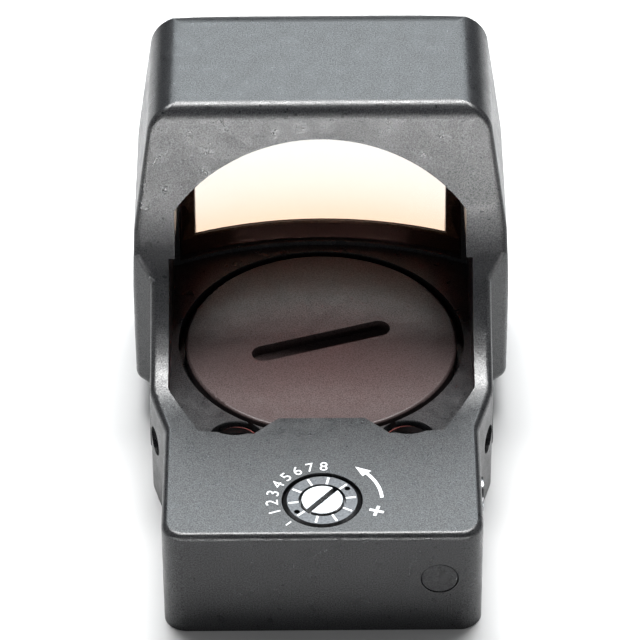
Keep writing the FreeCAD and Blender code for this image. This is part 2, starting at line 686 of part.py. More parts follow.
def screw_holes():
    """Stepped holes for the mounting screws, blind sockets for locating posts, cover screw holes."""
    holes = []
    for x in (MOUNT_X, -MOUNT_X):
        holes.append(cylinder_z(x, MOUNT_Y, MOUNT_HEAD_R + MOUNT_HEAD_GAP, MOUNT_SEAT_Z,
                                FLOOR_Z + OVERSHOOT))
        holes.append(cylinder_z(x, MOUNT_Y, MOUNT_SHANK_R + MOUNT_SHANK_GAP, -OVERSHOOT, FLOOR_Z))
    for x in (SOCKET_X, -SOCKET_X):
        for y in SOCKET_Y:
            holes.append(cylinder_z(x, y, SOCKET_R, -OVERSHOOT, SOCKET_DEPTH))
    for x, y in COVER_SCREWS:
        holes.append(cylinder_z(x, y, COVER_SCREW_R, 0, COVER_SCREW_LENGTH + COVER_SCREW_TIP_ROOM))
    return holes


def side_holes():
    """On both sides, the buttons' rooms and the lock screws' holes; in the rear face, the plug's hole."""
    right = [button_room(), lock_bar(LOCK_R, -OVERSHOOT / 2, LOCK_DEPTH)]
    return right + [mirror_x(tool) for tool in right] + [
        cylinder_y(PLUG_X, PLUG_Z, PLUG_R, -OVERSHOOT, PLUG_LENGTH)]


def make_housing():
    bosses = both_sides(cylinder_z(MOUNT_X, MOUNT_Y, MOUNT_BOSS_R, 0, FLOOR_Z))
    tunnel = arch(TUNNEL_HALF_WIDTH, ARCH_R, SILL_Z, TUNNEL_START_Y, FRONT_Y)
    tunnel = tunnel.common(lens_ball(LENS_R + LENS_SEAL))
    tools = [pocket(), tunnel, window_opening(), sill_chamfer()]
    tools += underside_tools(bosses)
    tools.append(emitter_port())
    tools += bay_bores() + adjuster_bores() + screw_holes() + side_holes()
    return cut(housing_blank(), *tools).Solids[0]


def window_opening():
    """The front aperture: an arch inside the lip."""
    return arch(TUNNEL_HALF_WIDTH - LIP_WIDTH, ARCH_R - LIP_WIDTH, SILL_Z + SILL_LIP,
                TUNNEL_START_Y, FRONT_Y + OVERSHOOT)


def sill_chamfer():
    """Slopes the sill away in front of its lip: a cone round the lens's upright axis."""
    half_width = TUNNEL_HALF_WIDTH - LIP_WIDTH
    lip_z = SILL_Z + SILL_LIP
    lip_r = lens_circle_r(LENS_R + LENS_SEAL, lip_z)
    foot_z = lip_z - SILL_CHAMFER
    kept = Part.makeCone(lip_r + SILL_CHAMFER, lip_r, SILL_CHAMFER, FreeCAD.Vector(0, LENS_CENTRE_Y, foot_z))
    return box(-half_width, half_width, TUNNEL_START_Y, FRONT_Y + OVERSHOOT, foot_z, lip_z).cut(kept)


# ---- lens and the small glass ----
def lens_outline():
    """An upright bar with the outline of the lens."""
    return arch(TUNNEL_HALF_WIDTH - LENS_GAP, ARCH_R - LENS_GAP, SILL_Z + LENS_GAP, TUNNEL_START_Y, FRONT_Y)


def make_lens():
    """A bowed plate of even thickness, hollow toward the emitter."""
    return lens_outline().common(lens_ball(LENS_R)).cut(lens_ball(LENS_R - LENS_THICKNESS))


def make_lens_seal():
    """The bead of sealant between the lens and the lip."""
    outer = lens_outline().common(lens_ball(LENS_R + LENS_SEAL)).cut(lens_ball(LENS_R))
    inset = LIP_WIDTH - LENS_SEAL_SETBACK
    inner = arch(TUNNEL_HALF_WIDTH - inset, ARCH_R - inset, SILL_Z + LENS_SEAL_FOOT,
                 TUNNEL_START_Y, FRONT_Y + OVERSHOOT)
    return outer.cut(inner)


def make_emitter_window():
    return box(-EMITTER_WINDOW_HALF_WIDTH, EMITTER_WINDOW_HALF_WIDTH, *EMITTER_WINDOW_Y, *EMITTER_WINDOW_Z)


# ---- battery bay ----
def make_battery_cap():
    """A disc with a coin slot, and under it a threaded skirt that is hollow over the cell."""
    disc = cylinder_z(0, BAY_Y, CAP_R, CAP_SHOULDER_Z + CAP_SHOULDER_GAP, FLOOR_Z)
    rim = [edge for edge in disc.Edges if edge.BoundBox.ZMin > FLOOR_Z - TINY]
    disc = disc.makeFillet(CAP_EDGE_R, rim)
    skirt = cylinder_z(0, BAY_Y, CAP_THREAD_R, CAP_SKIRT_Z, FLOOR_Z - CAP_JOIN)
    hollow = cylinder_z(0, BAY_Y, CELL_R + CELL_SIDE_GAP, CAP_SKIRT_Z - OVERSHOOT,
                        CELL_Z + CELL_HEIGHT + CELL_TOP_GAP)
    seal_groove = ring_z(0, BAY_Y, CAP_SEAL_R - CAP_SEAL_WIRE - SEAL_FLOOR_GAP, CAP_THREAD_R + OVERSHOOT,
                         *CAP_SEAL_GROOVE_Z)
    return cut(fuse(disc, skirt), hollow, seal_groove, coin_slot())


def coin_slot():
    radius = CAP_SLOT_WIDTH / 2
    reach = CAP_SLOT_LENGTH / 2 - radius
    bottom = FLOOR_Z - CAP_SLOT_DEPTH
    top = FLOOR_Z + OVERSHOOT
    bar = box(-reach, reach, BAY_Y - radius, BAY_Y + radius, bottom, top)
    slot = fuse(bar, cylinder_z(-reach, BAY_Y, radius, bottom, top),
                cylinder_z(reach, BAY_Y, radius, bottom, top))
    slot.rotate(FreeCAD.Vector(0, BAY_Y, 0), FreeCAD.Vector(0, 0, 1), CAP_SLOT_ANGLE)
    return slot


def make_battery_cap_seal():
    return Part.makeTorus(CAP_SEAL_R, CAP_SEAL_WIRE, FreeCAD.Vector(0, BAY_Y, CAP_SEAL_Z))


def make_coin_cell():
    """A can with a slightly smaller end facing down."""
    can_foot = CELL_Z + CELL_STEP_HEIGHT
    can = cylinder_z(0, BAY_Y, CELL_R, can_foot, CELL_Z + CELL_HEIGHT)
    return fuse(can, cylinder_z(0, BAY_Y, CELL_R - CELL_STEP_WIDTH, CELL_Z, can_foot + TINY))


def make_cell_insulator():
    """A ring round the cell, notched for the rim clip and for the flat cable."""
    ring = ring_z(0, BAY_Y, CELL_R + INSULATOR_CELL_GAP, CAP_THREAD_R - INSULATOR_WALL_GAP,
                  BOARD_TOP_Z, INSULATOR_TOP_Z)
    clip_reach = CLIP_HALF_WIDTH + CLIP_NOTCH_GAP
    clip_end = BAY_Y + CELL_R + CLIP_CELL_GAP + SHEET + CLIP_NOTCH_GAP
    clip_notch = box(-clip_reach, clip_reach, BAY_Y, clip_end, 0, INSULATOR_TOP_Z + OVERSHOOT)
    cable_reach = CABLE_HALF_WIDTH + CABLE_NOTCH_GAP
    cable_notch = box(-cable_reach, cable_reach, BAY_Y - CAP_THREAD_R, BAY_Y, 0,
                      BOARD_TOP_Z + CABLE_NOTCH_GAP)
    return cut(ring, clip_notch, cable_notch)


def make_negative_contact():
    """A sprung leaf on the board that presses on the cell's small end."""
    foot = box(-LEAF_HALF_WIDTH, LEAF_HALF_WIDTH, BAY_Y + LEAF_FOOT_Y[0], BAY_Y + LEAF_FOOT_Y[1],
               BOARD_TOP_Z, BOARD_TOP_Z + SHEET)
    leaf_top = BOARD_TOP_Z + 2 * SHEET
    leaf = box(-LEAF_HALF_WIDTH, LEAF_HALF_WIDTH, BAY_Y + LEAF_Y[0], BAY_Y + LEAF_Y[1],
               BOARD_TOP_Z + SHEET, leaf_top)
    nose = cylinder_x(BAY_Y + LEAF_NOSE_Y, leaf_top, LEAF_NOSE_R, -LEAF_HALF_WIDTH, LEAF_HALF_WIDTH)
    above_leaf = box(-CELL_R, CELL_R, 0, FRONT_Y, leaf_top - SHEET / 2, CELL_Z)
    return fuse(foot, leaf, nose.common(above_leaf))


def make_positive_contact():
    """A clip that stands on the board beside the cell and touches its rim."""
    near = BAY_Y + CELL_R + CLIP_CELL_GAP
    return box(-CLIP_HALF_WIDTH, CLIP_HALF_WIDTH, near, near + SHEET, BOARD_TOP_Z, INSULATOR_TOP_Z)


# ---- underside ----
def make_bottom_cover():
    cover = plate(cover_outline(COVER_GAP), 0, COVER_THICKNESS)
    holes = [cylinder_z(x, MOUNT_Y, MOUNT_BOSS_R + COVER_GAP, -OVERSHOOT, OVERSHOOT)
             for x in (MOUNT_X, -MOUNT_X)]
    for x, y in COVER_SCREWS:
        holes.append(cylinder_z(x, y, COVER_SCREW_R + COVER_HOLE_GAP, -OVERSHOOT, OVERSHOOT))
        holes.append(Part.makeCone(COVER_HEAD_R + COVER_HOLE_GAP, COVER_SCREW_R,
                                   COVER_HEAD_HEIGHT + COVER_HEAD_SINK, FreeCAD.Vector(x, y, 0)))
    return cut(cover, *holes)


def make_cover_gasket():
    """A frame along the edge of the cover, open over the board, the mechanism and the switches."""
    top = COVER_THICKNESS + GASKET_THICKNESS
    outer = plate(cover_outline(COVER_GAP), COVER_THICKNESS, top)
    inner = ahead_of_channel(plate(cover_outline(GASKET_WIDTH), 0, top + OVERSHOOT))
    slot = switch_slot(top + OVERSHOOT)
    holes = [cylinder_z(x, MOUNT_Y, MOUNT_BOSS_R + COVER_GAP, 0, top + OVERSHOOT)
             for x in (MOUNT_X, -MOUNT_X)]
    holes += [cylinder_z(x, y, COVER_SCREW_R + GASKET_HOLE_GAP, 0, top + OVERSHOOT) for x, y in COVER_SCREWS]
    return cut(outer, inner, mechanism_cavity(), slot, mirror_x(slot), *holes)


def make_cover_screws():
    screws = []
    across, depth = COVER_SCREW_SOCKET
    radius = COVER_SCREW_R - COVER_SCREW_GAP
    for x, y in COVER_SCREWS:
        head = Part.makeCone(COVER_HEAD_R, radius, COVER_HEAD_HEIGHT, FreeCAD.Vector(x, y, COVER_HEAD_SINK))
        shank = cylinder_z(x, y, radius, COVER_HEAD_SINK, COVER_SCREW_LENGTH)
        screws.append(fuse(head, shank).cut(hexagon_z(x, y, across, 0, depth)))
    return Part.makeCompound(screws)


# ---- electronics ----
def make_circuit_board():
    """Fills the recess under the bay, with cut-outs for the switches and the front cover screws."""
    wide = ahead_of_channel(plate(cover_outline(GASKET_WIDTH + BOARD_GAP), BOARD_Z, BOARD_TOP_Z))
    wide = wide.cut(box(-COVER_HALF_WIDTH, COVER_HALF_WIDTH, COVER_WIDE_Y - OVERSHOOT,
                        COVER_WIDE_Y + BOARD_GAP, 0, FLOOR_Z))
    slot = box(*BOARD_SLOT_X, BUTTON_Y - BOARD_SLOT_HALF_LENGTH, BUTTON_Y + BOARD_SLOT_HALF_LENGTH,
               0, FLOOR_Z)
    corner = box(*BOARD_CORNER_X, BOARD_CORNER_Y, COVER_Y[1], 0, FLOOR_Z)
    return cut(wide, slot, mirror_x(slot), corner, mirror_x(corner))


def make_chips():
    """The controller and the small parts round it, on the underside of the board."""
    length, width, height = PASSIVE_SIZE
    places = [CONTROLLER, REGULATOR, LIGHT_SENSOR]
    places += [(x, x + length, PASSIVE_Y, PASSIVE_Y + width, height) for x in PASSIVE_X]
    return Part.makeCompound([box(x0, x1, y0, y1, BOARD_Z - tall, BOARD_Z)
                              for x0, x1, y0, y1, tall in places])


def make_switch(side):
    """A dome switch on its own small board, standing upright behind a button."""
    back = SWITCH_SLOT_X + SWITCH_GAP
    front = back + SWITCH_BOARD_THICKNESS
    board = box(back, front, BUTTON_Y - SWITCH_BOARD_HALF_LENGTH, BUTTON_Y + SWITCH_BOARD_HALF_LENGTH,
                *SWITCH_BOARD_Z)
    dome = cylinder_x(BUTTON_Y, BUTTON_Z, SWITCH_DOME_R, front, front + SWITCH_DOME_HEIGHT)
    switch = fuse(board, dome)
    return switch if side > 0 else mirror_x(switch)


def make_button(side):
    """A key with a flange inside the wall, which stops it from coming out."""
    key = stadium_x(BUTTON_Y, BUTTON_Z, BUTTON_LENGTH, BUTTON_HEIGHT,
                    BUTTON_FLANGE_X[0], BODY_HALF_WIDTH + BUTTON_PROUD)
    rim = [edge for edge in key.Edges if edge.BoundBox.XMin > BODY_HALF_WIDTH]
    key = key.makeFillet(BUTTON_EDGE_R, rim)
    flange = box(*BUTTON_FLANGE_X, BUTTON_Y - BUTTON_FLANGE_HALF_LENGTH, BUTTON_Y + BUTTON_FLANGE_HALF_LENGTH,
                 BUTTON_Z - BUTTON_FLANGE_HALF_HEIGHT, BUTTON_Z + BUTTON_FLANGE_HALF_HEIGHT)
    button = fuse(key, flange)
    return button if side > 0 else mirror_x(button)


def make_flex_cable():
    """The flat cable from the board to the emitter, along the channel and up behind the port."""
    half = CABLE_HALF_WIDTH
    top = LED_Z[0]
    run = box(-half, half, CABLE_RISE_Y, CABLE_END_Y, BOARD_TOP_Z, BOARD_TOP_Z + SHEET)
    rise = box(-half, half, CABLE_RISE_Y, CABLE_RISE_Y + SHEET, BOARD_TOP_Z, top)
    tail = box(-half, half, LED_Y[0], CABLE_RISE_Y + SHEET, top - SHEET, top)
    return fuse(run, rise, tail)


# ---- adjusters ----
def make_elevation_dial():
    """A chamfered ring round the screw's head, with two pin holes and a groove for the click ball."""
    dial = ring_z(0, DIAL_Y, SCREW_HEAD_R + DIAL_SCREW_GAP, DIAL_R, DIAL_SEAT_Z + DIAL_SEAT_GAP, DECK_Z)
    outer_rim = [edge for edge in dial.Edges
                 if edge.BoundBox.ZMin > DECK_Z - TINY and edge.BoundBox.XLength > 2 * DIAL_R - TINY]
    dial = dial.makeChamfer(DIAL_CHAMFER, outer_rim)
    screw_recess = cylinder_z(0, DIAL_Y, DIAL_RECESS_R, DECK_Z - DIAL_RECESS_DEPTH, DECK_Z + OVERSHOOT)
    click_groove = ring_z(0, DIAL_Y, DETENT_R - DETENT_HALF_WIDTH, DETENT_R + DETENT_HALF_WIDTH,
                          DIAL_SEAT_Z - OVERSHOOT, DIAL_SEAT_Z + DETENT_DEPTH)
    holes = []
    for turn in DIAL_PIN_TURNS:
        x = DIAL_PIN_PLACE_R * math.cos(math.radians(turn))
        y = DIAL_Y + DIAL_PIN_PLACE_R * math.sin(math.radians(turn))
        holes.append(cylinder_z(x, y, DIAL_PIN_R, DECK_Z - DIAL_PIN_DEPTH, DECK_Z + OVERSHOOT))
    return cut(dial, click_groove, screw_recess, *holes)


def make_elevation_screw():
    """Slotted head, sealed shank with a clip groove, and the thread that moves the slide."""
    head = cylinder_z(0, DIAL_Y, SCREW_HEAD_R, DIAL_SEAT_Z + DIAL_SEAT_GAP, DECK_Z + SCREW_PROUD)
    head = head.makeChamfer(SCREW_EDGE, [edge for edge in head.Edges if edge.BoundBox.ZMin > DECK_Z])
    shank = cylinder_z(0, DIAL_Y, SHANK_R, CLIP_Z, DIAL_SEAT_Z + SCREW_JOIN)
    thread = cylinder_z(0, DIAL_Y, THREAD_R, SCREW_FOOT_Z, CLIP_Z + SCREW_JOIN)
    seal_groove = ring_z(0, DIAL_Y, SEAL_GROOVE_R, SHANK_R + OVERSHOOT, *SEAL_GROOVE_Z)
    clip_groove = ring_z(0, DIAL_Y, SHANK_R - CLIP_GROOVE_DEPTH, SHANK_R + OVERSHOOT,
                         CLIP_Z + CLIP_GROOVE_Z[0], CLIP_Z + CLIP_GROOVE_Z[1])
    slot = box(-DIAL_R, DIAL_R, DIAL_Y - SLOT_WIDTH / 2, DIAL_Y + SLOT_WIDTH / 2,
               DECK_Z - SCREW_SLOT_DEPTH, DECK_Z + OVERSHOOT)
    slot.rotate(FreeCAD.Vector(0, DIAL_Y, 0), FreeCAD.Vector(0, 0, 1), SCREW_SLOT_TURN)
    return cut(fuse(head, shank, thread), seal_groove, clip_groove, slot)


def make_elevation_seal():
    return Part.makeTorus(SEAL_R, SEAL_WIRE, FreeCAD.Vector(0, DIAL_Y, sum(SEAL_GROOVE_Z) / 2))


def make_elevation_clip():
    """An open ring in the shank's groove, under the boss, which keeps the screw from rising."""
    ring = ring_z(0, DIAL_Y, SHANK_R - CLIP_GROOVE_DEPTH + CLIP_RING_FIT, CLIP_RING_R,
                  CLIP_Z + CLIP_RING_Z[0], CLIP_Z + CLIP_RING_Z[1])
    mouth = box(-CLIP_MOUTH_HALF_WIDTH, CLIP_MOUTH_HALF_WIDTH, DIAL_Y - 2 * CLIP_RING_R, DIAL_Y,
                CLIP_Z, CLIP_Z + OVERSHOOT)
    return ring.cut(mouth)


def make_windage_dial():
    dial = ring_x(WINDAGE_Y, WINDAGE_Z, WINDAGE_HEAD_R + WINDAGE_SCREW_GAP, WINDAGE_DIAL_R,
                  WINDAGE_SEAT_X + DIAL_SEAT_GAP, REAR_HALF_WIDTH - WINDAGE_DIAL_SINK)
    click_groove = ring_x(WINDAGE_Y, WINDAGE_Z, WINDAGE_DETENT_R - WINDAGE_DETENT_HALF_WIDTH,
                          WINDAGE_DETENT_R + WINDAGE_DETENT_HALF_WIDTH,
                          WINDAGE_SEAT_X - OVERSHOOT, WINDAGE_SEAT_X + WINDAGE_DETENT_DEPTH)
    return dial.cut(click_groove)


def make_windage_screw():
    """Slotted head that stands proud of the side, sealed shank, and the thread that moves the nut."""
    head = cylinder_x(WINDAGE_Y, WINDAGE_Z, WINDAGE_HEAD_R, WINDAGE_SEAT_X + DIAL_SEAT_GAP,
                      REAR_HALF_WIDTH + WINDAGE_HEAD_PROUD)
    shank = cylinder_x(WINDAGE_Y, WINDAGE_Z, WINDAGE_SHANK_R, *WINDAGE_SHANK_X)
    thread = cylinder_x(WINDAGE_Y, WINDAGE_Z, THREAD_R, *WINDAGE_THREAD_X)
    seal_groove = ring_x(WINDAGE_Y, WINDAGE_Z, SEAL_GROOVE_R, SHANK_R + OVERSHOOT, *WINDAGE_SEAL_GROOVE_X)
    slot = box(REAR_HALF_WIDTH + WINDAGE_HEAD_PROUD - WINDAGE_SLOT_DEPTH, REAR_HALF_WIDTH + OVERSHOOT,
               WINDAGE_Y - WINDAGE_BORE_R, WINDAGE_Y + WINDAGE_BORE_R,
               WINDAGE_Z - SLOT_WIDTH / 2, WINDAGE_Z + SLOT_WIDTH / 2)
    return cut(fuse(head, shank, thread), seal_groove, slot)


def make_windage_seal():
    return Part.makeTorus(SEAL_R, SEAL_WIRE,
                          FreeCAD.Vector(sum(WINDAGE_SEAL_GROOVE_X) / 2, WINDAGE_Y, WINDAGE_Z),
                          FreeCAD.Vector(1, 0, 0))


def make_click_balls():
    upper = Part.makeSphere(BALL_R, FreeCAD.Vector(0, DIAL_Y + DETENT_R, DIAL_SEAT_Z - BALL_DROP))
    side = Part.makeSphere(BALL_R, FreeCAD.Vector(WINDAGE_SEAT_X - WINDAGE_BALL_DROP, WINDAGE_Y,
                                                  WINDAGE_Z + WINDAGE_DETENT_R))
    return Part.makeCompound([upper, side])


def make_click_springs():
    upper = coil(0, DIAL_Y + DETENT_R, CLICK_SPRING_R, CLICK_SPRING_WIRE, *CLICK_SPRING_Z,
                 CLICK_SPRING_TURNS)
    start, end = WINDAGE_SPRING_X
    side = coil(0, 0, CLICK_SPRING_R, CLICK_SPRING_WIRE, 0, end - start, CLICK_SPRING_TURNS)
    side.rotate(FreeCAD.Vector(0, 0, 0), FreeCAD.Vector(0, 1, 0), 90)
    side.translate(FreeCAD.Vector(start, WINDAGE_Y, WINDAGE_Z + WINDAGE_DETENT_R))
    return Part.makeCompound([upper, side])


# ---- slides that carry the emitter ----
def make_elevation_slide():
    """Rides up and down on the elevation screw, and carries a shelf that reaches forward."""
    block = box(-SLIDE_HALF_WIDTH, SLIDE_HALF_WIDTH, *SLIDE_Y, *SLIDE_Z)
    shelf = box(-SHELF_HALF_WIDTH, SHELF_HALF_WIDTH, *SHELF_Y, *SHELF_Z)
    rail = box(-SHELF_HALF_WIDTH, SHELF_HALF_WIDTH, *RAIL_Y, SHELF_Z[1] - RAIL_JOIN, RAIL_TOP_Z)
    return cut(fuse(block, shelf, rail), cylinder_z(0, DIAL_Y, THREAD_BORE_R, 0, SLIDE_ROOM_TOP_Z))


def make_emitter_holder():
    """Slides left and right on the shelf's rail; its side plate is driven by the windage nut's pin."""
    block = box(-HOLDER_HALF_WIDTH, HOLDER_HALF_WIDTH, *HOLDER_Y, *HOLDER_Z)
    groove = box(-ARM_X[1], ARM_X[1], RAIL_Y[0] - RAIL_GAP, RAIL_Y[1] + RAIL_GAP,
                 SHELF_Z[0], RAIL_TOP_Z + RAIL_GAP)
    arm = box(*ARM_X, HOLDER_Y[0], ARM_FRONT_Y, HOLDER_Z[0], ARM_TOP_Z)
    side_plate = box(SIDE_PLATE_X, ARM_X[1], HOLDER_Y[0], ARM_FRONT_Y, SIDE_PLATE_FOOT_Z, ARM_TOP_Z)
    radius = PIN_R + PIN_GAP
    low, high = WINDAGE_Z - PIN_SLOT_REACH, WINDAGE_Z + PIN_SLOT_REACH
    slot_y = (HOLDER_Y[0] - OVERSHOOT, ARM_FRONT_Y + OVERSHOOT)
    pin_slot = fuse(box(PIN_X - radius, PIN_X + radius, *slot_y, low, high),
                    cylinder_y(PIN_X, low, radius, *slot_y),
                    cylinder_y(PIN_X, high, radius, *slot_y))
    return cut(fuse(block, arm, side_plate), groove, pin_slot)


def make_windage_nut():
    """Rides along the windage screw; its pin stands in the side plate's upright slot."""
    block = box(*NUT_X, *NUT_Y, *NUT_Z)
    pin = cylinder_y(PIN_X, WINDAGE_Z, PIN_R, *PIN_Y)
    screw_hole = cylinder_x(WINDAGE_Y, WINDAGE_Z, THREAD_BORE_R, NUT_X[0] - OVERSHOOT, NUT_X[1] + OVERSHOOT)
    return fuse(block, pin).cut(screw_hole)


def make_led_emitter():
    body = box(-LED_HALF_WIDTH, LED_HALF_WIDTH, *LED_Y, *LED_Z)
    return fuse(body, cylinder_y(0, LED_DOME_Z, LED_DOME_R, LED_Y[1], LED_Y[1] + LED_DOME_HEIGHT))


def make_slide_springs():
    """Two springs under the elevation slide, which take up the play in the screw."""
    return Part.makeCompound([coil(x, DIAL_Y, SLIDE_SPRING_R, SLIDE_SPRING_WIRE, *SLIDE_SPRING_Z,
                                   SLIDE_SPRING_TURNS) for x in SLIDE_SPRING_X])


# ---- screws, plugs ----
def make_mounting_screw(side):
    """A socket-head screw, backed out so that its tip is level with the base face."""
    x = side * MOUNT_X
    across, depth = MOUNT_SOCKET
    head = cylinder_z(x, MOUNT_Y, MOUNT_HEAD_R, MOUNT_TOP_Z - MOUNT_HEAD_HEIGHT, MOUNT_TOP_Z)
    rim = [edge for edge in head.Edges if edge.BoundBox.ZMin > MOUNT_TOP_Z - TINY]
    head = head.makeFillet(MOUNT_HEAD_EDGE_R, rim)
    shank = cylinder_z(x, MOUNT_Y, MOUNT_SHANK_R, MOUNT_TOP_Z - MOUNT_LENGTH,
                       MOUNT_TOP_Z - MOUNT_HEAD_HEIGHT / 2)
    recess = hexagon_z(x, MOUNT_Y, across, MOUNT_TOP_Z - depth, MOUNT_TOP_Z + OVERSHOOT)
    return fuse(head, shank).cut(recess)


def make_lock_screw(side):
    """A headless screw sunk under the side face, with a hexagon socket."""
    start, outward = lock_screw_axis()
    across, depth = LOCK_SOCKET
    bar = lock_bar(LOCK_R - LOCK_GAP, LOCK_SINK, LOCK_DEPTH - LOCK_END_GAP)
    socket = hexagon_z(0, 0, across, 0, depth + LOCK_SINK)
    socket.rotate(FreeCAD.Vector(0, 0, 0), FreeCAD.Vector(0, 1, 0), 90)
    turn = math.degrees(math.atan2(outward.y, outward.x))
    socket.rotate(FreeCAD.Vector(0, 0, 0), FreeCAD.Vector(0, 0, 1), turn)
    socket.translate(start - outward * (depth + LOCK_SINK))
    screw = bar.cut(socket)
    return screw if side > 0 else mirror_x(screw)


def make_rear_plug():
    plug = cylinder_y(PLUG_X, PLUG_Z, PLUG_R - PLUG_FIT, PLUG_SINK, PLUG_LENGTH - LOCK_END_GAP)
    rim = [edge for edge in plug.Edges if edge.BoundBox.YMax < PLUG_SINK + TINY]
    return plug.makeChamfer(PLUG_EDGE, rim)


PARTS = {
    "housing": make_housing,
    "lens": make_lens,
    "lens_seal": make_lens_seal,
    "emitter_window": make_emitter_window,
    "battery_cap": make_battery_cap,
    "battery_cap_seal": make_battery_cap_seal,
    "coin_cell": make_coin_cell,
    "cell_insulator": make_cell_insulator,
    "negative_contact": make_negative_contact,
    "positive_contact": make_positive_contact,
    "bottom_cover": make_bottom_cover,
    "cover_gasket": make_cover_gasket,
    "cover_screws": make_cover_screws,
    "circuit_board": make_circuit_board,
    "board_chips": make_chips,
    "switch_right": lambda: make_switch(1),
    "switch_left": lambda: make_switch(-1),
    "button_right": lambda: make_button(1),
    "button_left": lambda: make_button(-1),
    "emitter_flex_cable": make_flex_cable,
    "elevation_dial": make_elevation_dial,
    "elevation_screw": make_elevation_screw,
    "elevation_seal": make_elevation_seal,
    "elevation_clip": make_elevation_clip,
    "windage_dial": make_windage_dial,
    "windage_screw": make_windage_screw,
    "windage_seal": make_windage_seal,
    "click_balls": make_click_balls,
    "click_springs": make_click_springs,
    "elevation_slide": make_elevation_slide,
    "slide_springs": make_slide_springs,
    "emitter_holder": make_emitter_holder,
    "led_emitter": make_led_emitter,
    "windage_nut": make_windage_nut,
    "mounting_screw_right": lambda: make_mounting_screw(1),
    "mounting_screw_left": lambda: make_mounting_screw(-1),
    "lock_screw_right": lambda: make_lock_screw(1),
    "lock_screw_left": lambda: make_lock_screw(-1),
    "rear_plug": make_rear_plug,
}

if __name__ == "__main__":
    os.makedirs("parts", exist_ok=True)
    for name, make in PARTS.items():
        shape = make()
        print(name, len(shape.Solids), shape.isValid(), "%.2f" % shape.Volume)
        save(name, shape)
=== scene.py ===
"""Looks of the reflex sight: materials, dial marks, floor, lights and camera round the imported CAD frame."""
import json
import math

import bmesh
import bpy
from mathutils import Matrix, Vector


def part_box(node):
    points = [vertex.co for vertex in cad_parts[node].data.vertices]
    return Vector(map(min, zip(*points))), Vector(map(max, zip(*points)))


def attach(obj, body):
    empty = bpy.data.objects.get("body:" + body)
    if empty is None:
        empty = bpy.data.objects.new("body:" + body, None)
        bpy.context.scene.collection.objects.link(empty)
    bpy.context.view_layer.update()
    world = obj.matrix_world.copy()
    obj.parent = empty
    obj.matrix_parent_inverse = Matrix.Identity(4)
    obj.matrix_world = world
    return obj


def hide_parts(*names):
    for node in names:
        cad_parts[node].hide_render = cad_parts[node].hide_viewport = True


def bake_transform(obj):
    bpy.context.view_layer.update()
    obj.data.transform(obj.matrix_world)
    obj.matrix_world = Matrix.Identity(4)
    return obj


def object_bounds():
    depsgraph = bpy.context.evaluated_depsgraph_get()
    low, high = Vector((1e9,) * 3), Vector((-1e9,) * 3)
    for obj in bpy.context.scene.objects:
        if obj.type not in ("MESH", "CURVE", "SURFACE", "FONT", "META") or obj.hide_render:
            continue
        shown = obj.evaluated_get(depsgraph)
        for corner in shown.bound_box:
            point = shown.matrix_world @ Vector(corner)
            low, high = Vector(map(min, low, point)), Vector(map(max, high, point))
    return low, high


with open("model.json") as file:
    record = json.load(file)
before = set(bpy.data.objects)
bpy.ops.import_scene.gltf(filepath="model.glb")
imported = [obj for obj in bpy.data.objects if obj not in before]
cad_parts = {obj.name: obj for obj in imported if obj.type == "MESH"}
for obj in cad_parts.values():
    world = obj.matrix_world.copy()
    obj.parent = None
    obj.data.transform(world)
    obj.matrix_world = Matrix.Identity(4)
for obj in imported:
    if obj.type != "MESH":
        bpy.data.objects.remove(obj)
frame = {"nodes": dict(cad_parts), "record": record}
cad_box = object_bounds()

MM = 0.001
NODES = frame["nodes"]
SLOT_OF = {part["node"]: part["material_slot"] for part in frame["record"]["subparts"]}

# camera: where the photographer stood
VIEW_ELEVATION = math.radians(39.757)
VIEW_DISTANCE = 381.864 * MM
VIEW_ROLL = math.radians(-0.37)
AIM_AHEAD_OF_CENTRE = 8.444 * MM
AIM_HEIGHT = 8.0 * MM
FOCAL_LENGTH = 241.16
SENSOR_WIDTH = 36.0
SHIFT_X = -0.0016
NEAREST_SEEN = 0.01
FURTHEST_SEEN = 10

# the paper the sight stands on
FLOOR_HALF_SIZE = 1.5
FLOOR_DARK = (0.52, 0.52, 0.52)
FLOOR_LIGHT = (0.54, 0.54, 0.54)
FLOOR_GRAIN = 30
FLOOR_ROUGHNESS = 0.9
FLOOR_SPECULAR = 0.1

# the big soft lights face the middle of the sight: azimuth 0 is ahead of the lens (+Y), 180 is behind it
SOFTBOXES = {
    "front_high": dict(azimuth=0, elevation=72, distance=0.6, width=0.4, height=0.2, strength=38.0),
    "front_low": dict(azimuth=0, elevation=41, distance=0.6, width=0.4, height=0.3, strength=6.6,
                      colour=(0.88, 0.96, 1.0)),
    "behind_camera": dict(azimuth=180, elevation=10, distance=0.8, width=0.7, height=0.12, strength=7.0),
    "left_side": dict(azimuth=-90, elevation=30, distance=0.7, width=0.4, height=0.5, strength=0.9),
    "right_side": dict(azimuth=90, elevation=30, distance=0.7, width=0.4, height=0.5, strength=0.9),
}
# the gridded light over the floor behind the sight
GLOW_PLACE = (0, -0.2, 0.4)
GLOW_WIDTH = 0.5
GLOW_DEPTH = 0.12
GLOW_SPREAD = math.radians(18)
GLOW_WATTS = 15.0
ROOM_COLOUR = (0.9, 0.93, 1.0)
ROOM_STRENGTH = 0.05

